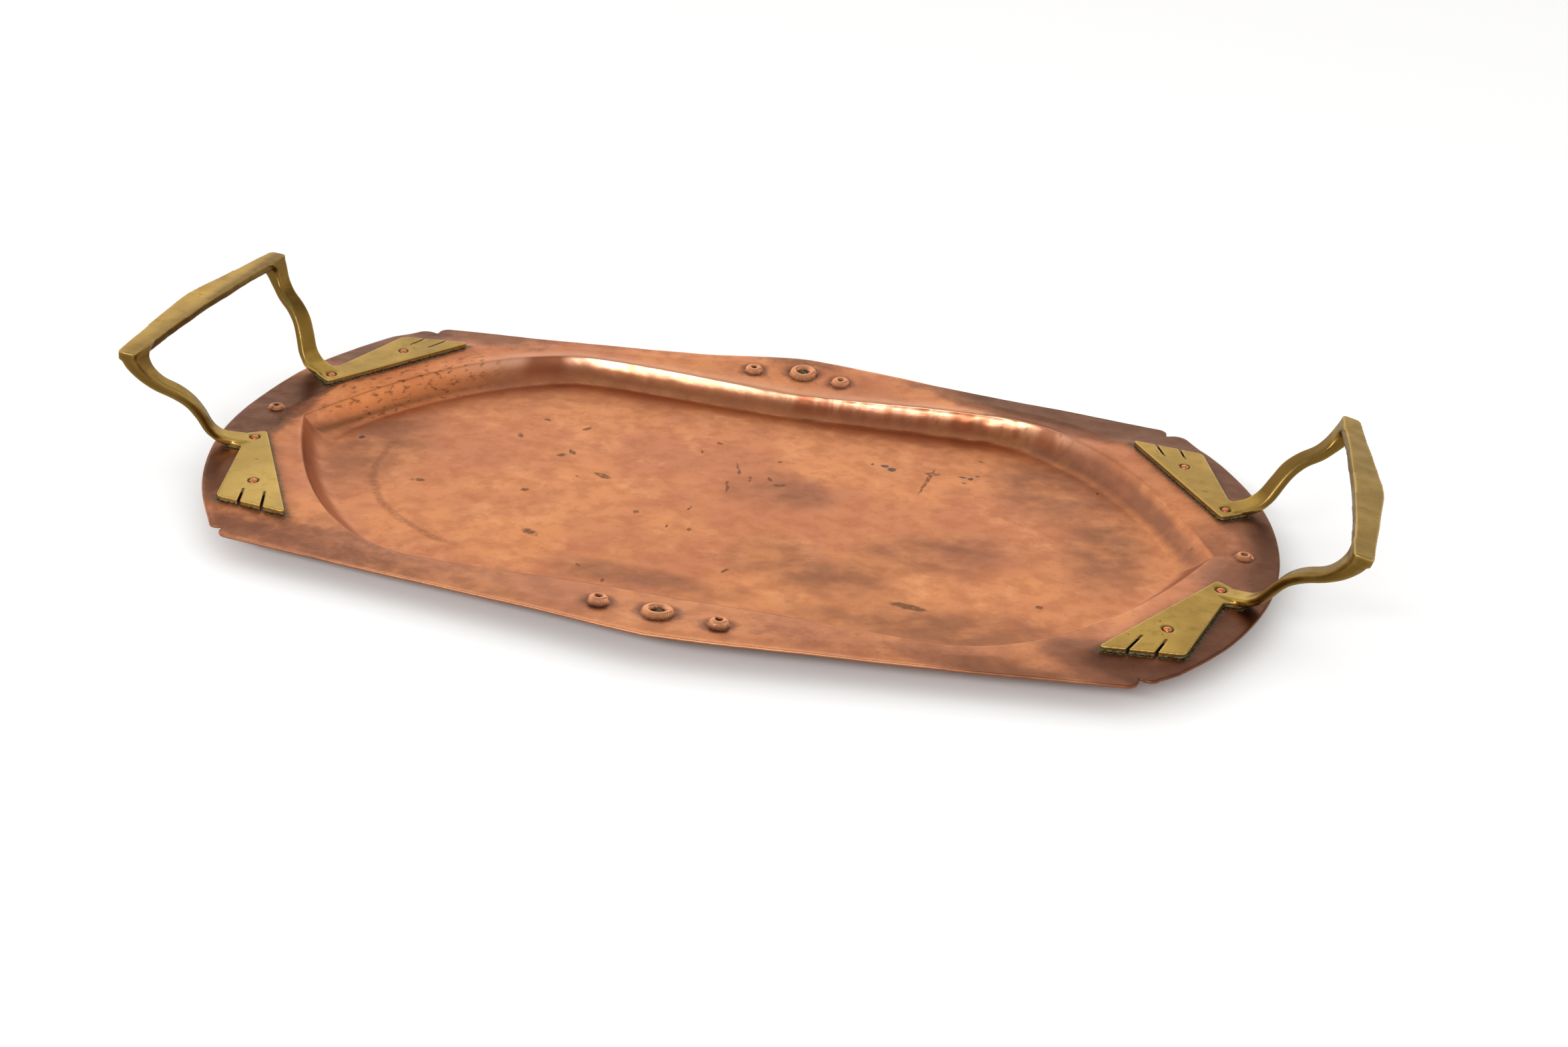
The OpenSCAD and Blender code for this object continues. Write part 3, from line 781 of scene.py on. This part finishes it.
def add_rivet(node, seed):
    """A rivet beaten over by hand: an uneven, faceted head and tail on a plain shank."""
    low, high = (np.array(corner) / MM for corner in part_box(node))
    middle, radius = (low + high) / 2, (high[0] - low[0]) / 2
    head_radius, shank = head_share * radius, shank_share * radius
    top, bottom = high[2], low[2]
    around = 2 * math.pi * np.arange(rivet_segments) / rivet_segments
    rings = []
    for k in range(1, rivet_rings + 1):
        a = 0.5 * math.pi * k / rivet_rings
        rings.append((head_radius * math.sin(a), top - rivet_head_height * (1 - math.cos(a))))
    rings += [(shank, top - rivet_head_height), (shank, bottom + rivet_tail_height)]
    for k in range(rivet_rings, 0, -1):
        a = 0.5 * math.pi * k / rivet_rings
        rings.append((radius * math.sin(a), bottom + rivet_tail_height * (1 - math.cos(a))))
    rings = np.array(rings)
    x = rings[:, :1] * np.cos(around)
    y = rings[:, :1] * np.sin(around)
    z = rings[:, 1:] * np.ones(rivet_segments)
    beaten = 0.16 * np.clip(1 - dents(x / 1.5 + 3, y / 1.5 + 3, seed), 0, 1)
    oval = 1 - 0.05 * (1 + np.cos(2 * around + seed)) - 0.03 * (1 + np.cos(3 * around + 2 * seed))
    outward = (rings[:, :1] > shank * 1.02) & np.ones(rivet_segments, bool)
    x, y = x * np.where(outward, oval, 1), y * np.where(outward, oval, 1)
    upper = z > (top + bottom) / 2
    z = z + np.where(upper, -beaten, beaten)
    grid = np.stack([x + middle[0], y + middle[1], z], 2)
    ends = [[middle[0], middle[1], row[:, 2].mean()] for row in (grid[0], grid[-1])]
    points = np.concatenate([grid.reshape(-1, 3), ends])
    rivet = mesh_object("peened_" + node, points, grid_faces(len(rings), rivet_segments))
    # The head's rim darker: grime and painted shade
    rim = smooth_step(0.72, 1.0, np.hypot(x, y) / head_radius)
    add_mask(rivet, "grime_and_shade", np.concatenate([rim.ravel(), [0, 0]]))
    rivet.data.materials.append(bpy.data.materials.get("rivet copper") or rivet_material())
    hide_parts(node)
    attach(rivet, "root")
    return rivet


# ---- Materials ----


class Shade:
    """One material's nodes, with short ways to add them. Sizes are in millimetres."""

    def __init__(self, name):
        self.material = bpy.data.materials.new(name)
        self.material.use_nodes = True
        self.tree = self.material.node_tree
        self.shader = self.tree.nodes["Principled BSDF"]
        self.place = self.tree.nodes.new("ShaderNodeTexCoord").outputs["Object"]

    def put(self, value, socket):
        if isinstance(value, bpy.types.NodeSocket):
            self.tree.links.new(value, socket)
        else:
            socket.default_value = value

    def node(self, kind, inputs=(), **settings):
        made = self.tree.nodes.new("ShaderNode" + kind)
        for key, value in settings.items():
            setattr(made, key, value)
        for key, value in dict(inputs).items():
            self.put(value, made.inputs[key])
        return made

    def math(self, operation, a, b=0.0):
        return self.node("Math", {0: a, 1: b}, operation=operation).outputs[0]

    def times(self, product, *others):
        for other in others:
            product = self.math("MULTIPLY", product, other)
        return product

    def mask(self, name):
        return self.node("Attribute", attribute_name=name).outputs["Fac"]

    def moved(self, at=(0, 0, 0), turn=0.0, size=(1, 1, 1), place=None):
        """Coordinates in which a patch at that place, turn and size is a unit circle."""
        inputs = {
            "Vector": self.place if place is None else place,
            "Location": [c * MM for c in at],
            "Rotation": (0, 0, math.radians(turn)),
            "Scale": [c * MM for c in size],
        }
        return self.node("Mapping", inputs, vector_type="TEXTURE").outputs[0]

    def noise(self, size, seed, detail=3.0, rough=0.55, stretch=(1, 1, 1), turn=0.0):
        """Noise from 0 to 1 with a grain of that size."""
        where = self.moved((seed * 37, seed * 11, seed * 23), turn, [size * s for s in stretch])
        inputs = {"Vector": where, "Scale": 1.0, "Detail": detail, "Roughness": rough}
        return self.node("TexNoise", inputs).outputs["Fac"]

    def ramp(self, value, low, high, to_low=0.0, to_high=1.0):
        """Value's range low to high, eased and clamped to to_low to to_high."""
        inputs = {"Value": value, "From Min": low, "From Max": high, "To Min": to_low,
                  "To Max": to_high}
        return self.node("MapRange", inputs, interpolation_type="SMOOTHSTEP").outputs[0]

    def tint(self, share, a, b):
        """Colour a turned to b by share."""
        made = self.node("Mix", data_type="RGBA")
        self.put(share, made.inputs[0])
        self.put(a if isinstance(a, bpy.types.NodeSocket) else (*a, 1), made.inputs[6])
        self.put(b if isinstance(b, bpy.types.NodeSocket) else (*b, 1), made.inputs[7])
        return made.outputs[2]

    def nearest(self, patches, place=None):
        """Distance from the nearest patch's middle, 1 at its rim. A patch is x, y, half length,
        half width and turn."""
        best = None
        for x, y, long, wide, turn in patches:
            where = self.moved((x, y, 0), turn, (long, wide, 1000), place)
            length = self.node("VectorMath", {0: where}, operation="LENGTH").outputs["Value"]
            best = length if best is None else self.math("MINIMUM", best, length)
        return best

    def warped(self, size, amount, seed):
        """The object's coordinates pushed about by noise, for ragged outlines."""
        where = self.moved((seed, seed, seed), 0, (size, size, size))
        noise = self.node("TexNoise", {"Vector": where, "Scale": 1.0, "Detail": 4.0})
        centred = self.node("VectorMath", {0: noise.outputs["Color"], 1: (0.5, 0.5, 0.5)},
                            operation="SUBTRACT").outputs[0]
        push = self.node("VectorMath", {0: centred, "Scale": amount * MM}, operation="SCALE")
        return self.node("VectorMath", {0: self.place, 1: push.outputs[0]},
                         operation="ADD").outputs[0]

    def bump(self, height, depth):
        """Normals of a height from 0 to 1 that is `depth` deep."""
        inputs = {"Height": height, "Distance": depth * MM, "Strength": 1.0}
        return self.node("Bump", inputs).outputs[0]


copper_tan = (0.54, 0.215, 0.088)
copper_rose = (0.43, 0.160, 0.078)
copper_pale = (0.64, 0.29, 0.13)
copper_polish_and_sheen = (0.68, 0.31, 0.16)
painted_shade_red = (0.26, 0.072, 0.030)
copper_orange = (0.56, 0.18, 0.055)
painted_highlight_rosy = (0.72, 0.40, 0.27)
patina_brown = (0.060, 0.022, 0.013)
patina_plum = (0.150, 0.056, 0.032)
grime_and_shade_brown = (0.045, 0.014, 0.008)
smoke_and_shade_brown = (0.20, 0.082, 0.048)
verdigris = (0.095, 0.135, 0.085)

# Marks on the well's floor: x, y, half length, half width, turn
brown_marks = [
    (-124, 37, 3.4, 1.5, -60), (-97, 21.5, 2.6, 1.5, 40), (-93, 27, 3.2, 1.1, -50),
    (-95, 57, 3, 1.6, 60), (-117.5, 61, 1.8, 1.0, 0), (-25.5, 64, 1.9, 1.1, -40),
    (-31.5, 51, 1.8, 0.7, -60), (9.2, 52.7, 1.3, 1.3, 0), (-9, 37, 6.5, 0.6, -72),
    (-0.6, 27, 3.2, 0.6, -80), (9, 30, 2.6, 1.1, -50), (15, 25, 2.8, 1.5, 20),
    (-9, 15, 6, 0.8, -75), (-70, 5.3, 4.4, 1.8, -25), (-81, 0, 1.2, 0.8, 0),
    (-100, -22.7, 1.9, 1.3, 40), (-152, -30, 3.4, 1.7, 10), (-83, -65, 4.2, 2.4, -30),
    (-20, -15, 0.7, 2.6, 0), (-43, -27.5, 1.2, 1.8, 0), (-25.5, -37, 0.7, 1.5, 0),
    (-14, -37, 1.0, 1.2, 0), (153, -58, 1.4, 1.3, 0), (-52, -88.5, 1.2, 0.9, 0),
    (12, -71.5, 2.6, 0.9, 50), (216, 13.4, 1.0, 1.0, 0), (168, 72.7, 0.9, 1.3, 0),
    (-204, 41, 1.6, 1.3, 0), (84, 57, 1.0, 15, -5), (85, 66, 3.2, 1.8, 5),
    (107, 90, 0.8, 1.5, 30), (-37, -99, 0.7, 1.3, 20), (97, -77, 8, 2.4, -8),
]
blue_marks = [
    (60.5, 67, 2.0, 1.6, 0), (64.6, 64, 2.2, 2.3, 30), (54, 67, 0.8, 1.3, 0),
    (100.5, 67.5, 2.2, 0.9, 10), (104.6, 67.2, 1.5, 1.5, 0), (107.6, 71.3, 1.1, 0.8, 30),
    (102, 61, 1.2, 0.6, -20), (-197, 6.4, 1.4, 2.2, 0),
]
smoke_patches = [
    (50, -58, 50, 26, -12), (98, -24, 54, 22, 28), (112, -92, 76, 24, 6),
    (148, 66, 48, 38, -40), (178, 8, 26, 50, 0), (-186, 0, 30, 64, 0),
    (18, 20, 30, 24, 0), (-20, -92, 60, 12, 0),
]
# Pitted, orange stretch of the far left wall
pit_patches = [(-196, 58, 66, 17, 57)]
# The stain left by a round pot: one arc on the left of the floor, as middle, radius and sector
pot_ring = (-90, 0, 90)
pot_ring_sector = (-156, -46, 44, 66, 38)


def copper_material():
    s = Shade("hammered copper")
    patina_and_halo_shade, grime_and_shade, polish_and_sheen = s.mask("patina_and_halo_shade"), s.mask("grime_and_shade"), s.mask("polish_and_sheen")
    green, wall, below = s.mask("green"), s.mask("wall"), s.mask("below")
    broad, middle = s.noise(70, 1, 2), s.noise(11, 2, 4, 0.6)
    fine, grain = s.noise(2.2, 3, 5, 0.65), s.noise(0.5, 4, 2)

    colour = s.tint(s.ramp(broad, 0.36, 0.62), copper_tan, copper_rose)
    cloud = s.noise(26, 10, 5, 0.7)
    colour = s.tint(s.times(s.ramp(cloud, 0.52, 0.70), 0.55), colour, copper_pale)
    mottle = s.ramp(middle, 0.42, 0.62)
    colour = s.tint(s.times(mottle, 0.34), colour, (0.33, 0.108, 0.046))
    speck = s.ramp(fine, 0.56, 0.68)
    colour = s.tint(s.times(speck, 0.30), colour, (0.27, 0.10, 0.045))
    # Painted shade: the far wall's band darkened to a deep red
    colour = s.tint(s.times(wall, 0.50), colour, painted_shade_red)
    # Painted highlight: the far wall's lip paler and rosier
    colour = s.tint(s.times(s.mask("lip"), 0.60), colour, painted_highlight_rosy)
    # Painted shade along the foot of the far wall, and a darker front rim
    shade = s.times(s.mask("cove_shade"), s.ramp(middle, 0.30, 0.60, 0.55, 0.85))
    colour = s.tint(shade, colour, smoke_and_shade_brown)
    # Painted dark bars that break the painted highlight
    colour = s.tint(s.times(s.mask("painted_dark_bars"), 0.85), colour, painted_shade_red)

    # The floor's marks. The masks keep the smoke and brown marks off the far wall and the underside
    floor_only = s.math("SUBTRACT", 1.0, s.math("MAXIMUM", wall, below))
    ragged = s.warped(5, 3.6, 5)
    smoke = s.ramp(s.nearest(smoke_patches, s.warped(38, 26, 6)), 1.15, 0.35)
    drift = s.noise(20, 14, 5, 0.62, (1.5, 0.9, 1), 20)
    smoke = s.times(smoke, s.ramp(drift, 0.34, 0.62, 0.40, 1.0), floor_only, 0.72)
    colour = s.tint(smoke, colour, smoke_and_shade_brown)
    brown = s.ramp(s.nearest(brown_marks, ragged), 1.35, 0.75)
    brown = s.times(brown, s.ramp(s.noise(2.6, 15, 3), 0.32, 0.50, 0.25, 1.0), floor_only, 0.88)
    colour = s.tint(brown, colour, (0.115, 0.046, 0.02))
    blue = s.ramp(s.nearest(blue_marks, s.warped(4, 2.2, 7)), 1.2, 0.8)
    colour = s.tint(s.times(blue, 0.95), colour, (0.055, 0.048, 0.060))
    ring = s.nearest([(pot_ring[0], pot_ring[1], pot_ring[2], pot_ring[2], 0)],
                     s.warped(25, 5, 8))
    line_share = s.ramp(s.math("ABSOLUTE", s.math("SUBTRACT", ring, 1.0)), 0.034, 0.006)
    sector = s.ramp(s.nearest([pot_ring_sector]), 1.1, 0.8)
    line_share = s.times(line_share, s.ramp(fine, 0.35, 0.55, 0.35, 1.0), sector, 0.5)
    colour = s.tint(line_share, colour, (0.15, 0.055, 0.028))

    pitted = s.ramp(s.nearest(pit_patches), 1.2, 0.5)
    colour = s.tint(s.times(pitted, 0.45), colour, copper_orange)
    pit = s.noise(3.0, 16, 4, 0.6, (1.7, 0.8, 1), 57)
    pits = s.times(pitted, s.ramp(pit, 0.52, 0.66))
    colour = s.tint(s.times(pits, 0.8), colour, (0.17, 0.055, 0.022))

    # Patina and the painted halo shade spread from the masks, ragged on the left, soft on the right
    across = s.node("SeparateXYZ", {0: s.place}).outputs[0]
    ragged_share = s.ramp(across, 0.02, 0.16, 1.0, 0.35)
    front = s.times(s.math("SUBTRACT", middle, 0.5), 0.6)
    front = s.math("ADD", front, s.times(s.math("SUBTRACT", fine, 0.5), 0.35))
    front = s.math("ADD", patina_and_halo_shade, s.times(front, ragged_share))
    veil = s.ramp(front, 0.05, 0.60)
    deep = s.ramp(front, 0.60, 1.15)
    colour = s.tint(s.times(veil, 0.85), colour, patina_plum)
    colour = s.tint(s.times(deep, 0.90), colour, patina_brown)

    # Dirt, and painted shade in creases, recesses and under the lip
    soot_and_shade = s.times(grime_and_shade, s.ramp(fine, 0.25, 0.6, 0.6, 1.0))
    colour = s.tint(soot_and_shade, colour, grime_and_shade_brown)
    # Paler where polished, partly a painted highlight
    polish_and_sheen_tint = s.times(polish_and_sheen, s.ramp(fine, 0.3, 0.6, 0.9, 0.6))
    colour = s.tint(polish_and_sheen_tint, colour, copper_polish_and_sheen)
    crust = s.times(green, s.ramp(s.noise(1.4, 9, 4), 0.42, 0.58))
    colour = s.tint(crust, colour, verdigris)
    colour = s.tint(s.times(below, 0.55), colour, (0.15, 0.058, 0.03))

    rough = s.ramp(middle, 0.25, 0.75, 0.27, 0.36)
    rougher = [(smoke, 0.10), (wall, -0.13), (polish_and_sheen, -0.09), (soot_and_shade, 0.15), (below, 0.12),
               (crust, 0.35)]
    for share, amount in rougher:
        rough = s.math("ADD", rough, s.times(share, amount))
    s.shader.inputs["Specular Tint"].default_value = (0.92, 0.78, 0.70, 1)
    s.put(rough, s.shader.inputs["Roughness"])
    s.put(s.ramp(crust, 0.0, 1.0, 1.0, 0.15), s.shader.inputs["Metallic"])
    s.put(colour, s.shader.inputs["Base Color"])

    scratch = s.noise(0.9, 12, 2, 0.5, (24, 0.5, 1), 24)
    cross = s.noise(1.1, 13, 2, 0.5, (26, 0.5, 1), -38)
    lines = s.math("ADD", s.ramp(scratch, 0.62, 0.74), s.ramp(cross, 0.64, 0.76))
    surface = s.math("ADD", s.times(middle, 0.6), s.times(grain, 0.05))
    surface = s.math("SUBTRACT", surface, s.times(lines, 0.03))
    s.put(s.bump(surface, 0.16), s.shader.inputs["Normal"])
    return s.material


brass_gold = (0.42, 0.262, 0.055)
brass_olive = (0.31, 0.185, 0.036)
brass_pale = (0.58, 0.41, 0.14)
brass_dark = (0.070, 0.033, 0.009)
brass_tarnish_and_shade = (0.11, 0.058, 0.012)


def brass_material():
    s = Shade("brass")
    worn_and_lit, hollow, low = s.mask("worn_and_lit"), s.mask("hollow"), s.mask("low")
    broad, middle = s.noise(34, 21, 2), s.noise(6, 22, 4, 0.6)
    fine, grain = s.noise(1.3, 23, 4, 0.65), s.noise(0.4, 24, 2)
    streak = s.noise(2.2, 25, 3, 0.6, (1, 9, 1))
    colour = s.tint(s.ramp(broad, 0.35, 0.65), brass_gold, brass_olive)
    colour = s.tint(s.times(s.ramp(streak, 0.45, 0.7), 0.22), colour, brass_olive)
    colour = s.tint(s.times(s.ramp(middle, 0.52, 0.72), 0.35), colour,
                    (0.21, 0.115, 0.022))
    # Painted shade, partly tarnish, on the sides, legs and right grip top
    colour = s.tint(s.times(s.mask("flank_tarnish_and_shade"), 0.88), colour, brass_tarnish_and_shade)
    # Worn edges paler, and the front left foot paler as painted light
    colour = s.tint(s.times(worn_and_lit, 0.50), colour, brass_pale)
    tarnish = s.times(hollow, s.ramp(middle, 0.25, 0.6, 0.55, 1.0))
    colour = s.tint(tarnish, colour, brass_dark)
    spots = s.times(s.ramp(s.noise(5, 26, 5, 0.7), 0.64, 0.70), 0.75)
    colour = s.tint(spots, colour, (0.10, 0.045, 0.02))
    dirt = s.times(s.mask("dirt"), s.ramp(fine, 0.25, 0.55, 0.6, 1.0))
    colour = s.tint(dirt, colour, (0.050, 0.024, 0.010))
    crust = s.times(low, s.ramp(fine, 0.36, 0.56))
    colour = s.tint(crust, colour, (0.17, 0.19, 0.12))
    rough = s.ramp(middle, 0.25, 0.75, 0.26, 0.38)
    rough = s.math("ADD", rough, s.times(tarnish, 0.2))
    rough = s.math("ADD", rough, s.times(crust, 0.3))
    s.shader.inputs["Specular Tint"].default_value = (0.91, 0.84, 0.72, 1)
    s.put(rough, s.shader.inputs["Roughness"])
    s.put(s.ramp(crust, 0.0, 1.0, 1.0, 0.3), s.shader.inputs["Metallic"])
    s.put(colour, s.shader.inputs["Base Color"])
    surface = s.math("ADD", s.times(middle, 0.5), s.times(fine, 0.12))
    surface = s.math("ADD", surface, s.times(grain, 0.03))
    s.put(s.bump(surface, 0.22), s.shader.inputs["Normal"])
    return s.material


def rivet_material():
    s = Shade("rivet copper")
    grime_and_shade = s.mask("grime_and_shade")
    middle, fine = s.noise(1.6, 31, 3), s.noise(0.5, 32, 3)
    colour = s.tint(s.ramp(middle, 0.35, 0.65), (0.66, 0.22, 0.085), (0.42, 0.135, 0.055))
    # The head's rim darker: grime and painted shade
    colour = s.tint(s.times(grime_and_shade, 0.85), colour, (0.12, 0.045, 0.022))
    s.put(colour, s.shader.inputs["Base Color"])
    s.shader.inputs["Metallic"].default_value = 1.0
    s.put(s.ramp(fine, 0.3, 0.7, 0.24, 0.40), s.shader.inputs["Roughness"])
    s.put(s.bump(fine, 0.03), s.shader.inputs["Normal"])
    return s.material


# ---- Studio ----


def add_floor():
    half = 40000
    drop = -0.3
    corners_of = [(-half, -half, drop), (half, -half, drop), (half, half, drop), (-half, half, drop)]
    floor = mesh_object("studio_floor", corners_of, [(0, 1, 2, 3)], smooth=False)
    s = Shade("studio floor")
    s.put((0.90, 0.90, 0.90, 1), s.shader.inputs["Base Color"])
    s.put(0.9, s.shader.inputs["Roughness"])
    floor.data.materials.append(s.material)


def add_world():
    """A bright back wall and horizon, a dimmer ceiling and a dark room in front."""
    world = bpy.data.worlds.new("studio")
    world.use_nodes = True
    bpy.context.scene.world = world
    tree = world.node_tree
    place = tree.nodes.new("ShaderNodeTexCoord")
    split = tree.nodes.new("ShaderNodeSeparateXYZ")
    tree.links.new(place.outputs["Generated"], split.inputs[0])

    def graded(value, stops, warmth=(1, 0.995, 0.985)):
        ramp = tree.nodes.new("ShaderNodeValToRGB")
        tree.links.new(value, ramp.inputs[0])
        elements = ramp.color_ramp.elements
        elements[0].position, elements[1].position = stops[0][0], stops[-1][0]
        for position, _ in stops[1:-1]:
            elements.new(position)
        for element, (_, level) in zip(elements, stops):
            element.color = (*(level * w for w in warmth), 1)
        return ramp.outputs["Color"]

    def mixed(a, b, share=None):
        """The product of a and b, or white turned to b by share."""
        made = tree.nodes.new("ShaderNodeMix")
        made.data_type = "RGBA"
        made.inputs[6].default_value = (1, 1, 1, 1)
        if share is None:
            made.blend_type = "MULTIPLY"
            made.inputs[0].default_value = 1.0
            tree.links.new(a, made.inputs[6])
        else:
            tree.links.new(share, made.inputs[0])
        tree.links.new(b, made.inputs[7])
        return made.outputs[2]

    x, y, z = split.outputs
    to_front = tree.nodes.new("ShaderNodeMath")
    to_front.operation = "MULTIPLY"
    tree.links.new(y, to_front.inputs[0])
    to_front.inputs[1].default_value = -1.0
    height = graded(z, [(0.0, 1.02), (0.07, 1.6), (0.55, 1.42), (0.85, 0.85), (1.0, 0.85)])
    front = graded(to_front.outputs[0], [(0.05, 1), (0.75, 0.62)], (1, 1, 1))
    # A dark panel high on the back wall, on the right
    panel = graded(x, [(0.10, 1.0), (0.30, 0.35), (0.45, 0.35), (0.62, 1.0)])
    reach = mixed(graded(y, [(0.2, 0.0), (0.6, 1.0)]), graded(z, [(0.20, 0.0), (0.30, 1.0)]))
    colour = mixed(mixed(height, front), mixed(None, panel, reach))
    background = tree.nodes["Background"]
    tree.links.new(colour, background.inputs["Color"])
    background.inputs["Strength"].default_value = 1.0


def add_softbox(name, azimuth, elevation, distance, size, radiance):
    """An area light aimed at the tray. Azimuth 0 is in front of the tray, 90 on its right."""
    a, e = math.radians(azimuth), math.radians(elevation)
    away = Vector((math.sin(a) * math.cos(e), -math.cos(a) * math.cos(e), math.sin(e)))
    data = bpy.data.lights.new(name, "AREA")
    data.shape = "RECTANGLE"
    data.size, data.size_y = size[0] * MM, size[1] * MM
    data.energy = radiance * math.pi * data.size * data.size_y
    light = bpy.data.objects.new(name, data)
    light.location = away * distance * MM
    light.rotation_mode = "QUATERNION"
    light.rotation_quaternion = away.to_track_quat("Z", "Y")
    bpy.context.scene.collection.objects.link(light)


camera_azimuth = 11.10
camera_elevation = 26.19
camera_roll = 4.08
camera_distance = 892.3
camera_aim = (31.6, -41.0)
camera_lens = 44.585


def add_camera():
    """The camera at the photographer's place, turned slightly about its own axis."""
    a, e, roll = (math.radians(v) for v in (camera_azimuth, camera_elevation, camera_roll))
    back = Vector((math.sin(a) * math.cos(e), -math.cos(a) * math.cos(e), math.sin(e)))
    level = Vector((math.cos(a), math.sin(a), 0))
    upright = back.cross(level)
    right = level * math.cos(roll) + upright * math.sin(roll)
    up = upright * math.cos(roll) - level * math.sin(roll)
    data = bpy.data.cameras.new("camera")
    data.lens = camera_lens
    camera = bpy.data.objects.new("camera", data)
    aim = Vector((camera_aim[0], camera_aim[1], rim_height))
    place = (aim + back * camera_distance) * MM
    camera.matrix_world = Matrix.Translation(place) @ Matrix((right, up, back)).transposed().to_4x4()
    bpy.context.scene.collection.objects.link(camera)
    bpy.context.scene.camera = camera


add_camera()
add_world()
add_floor()
add_softbox("front window", -12, 32, 3000, (2700, 360), 16.5)
bpy.context.scene.view_settings.view_transform = "Standard"

add_tray()
add_handle("right_handle", "cast_right_handle", 41)
add_handle("left_handle", "cast_left_handle", 47)
for number, node in enumerate(sorted(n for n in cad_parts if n.startswith("rivet"))):
    add_rivet(node, 60 + number)
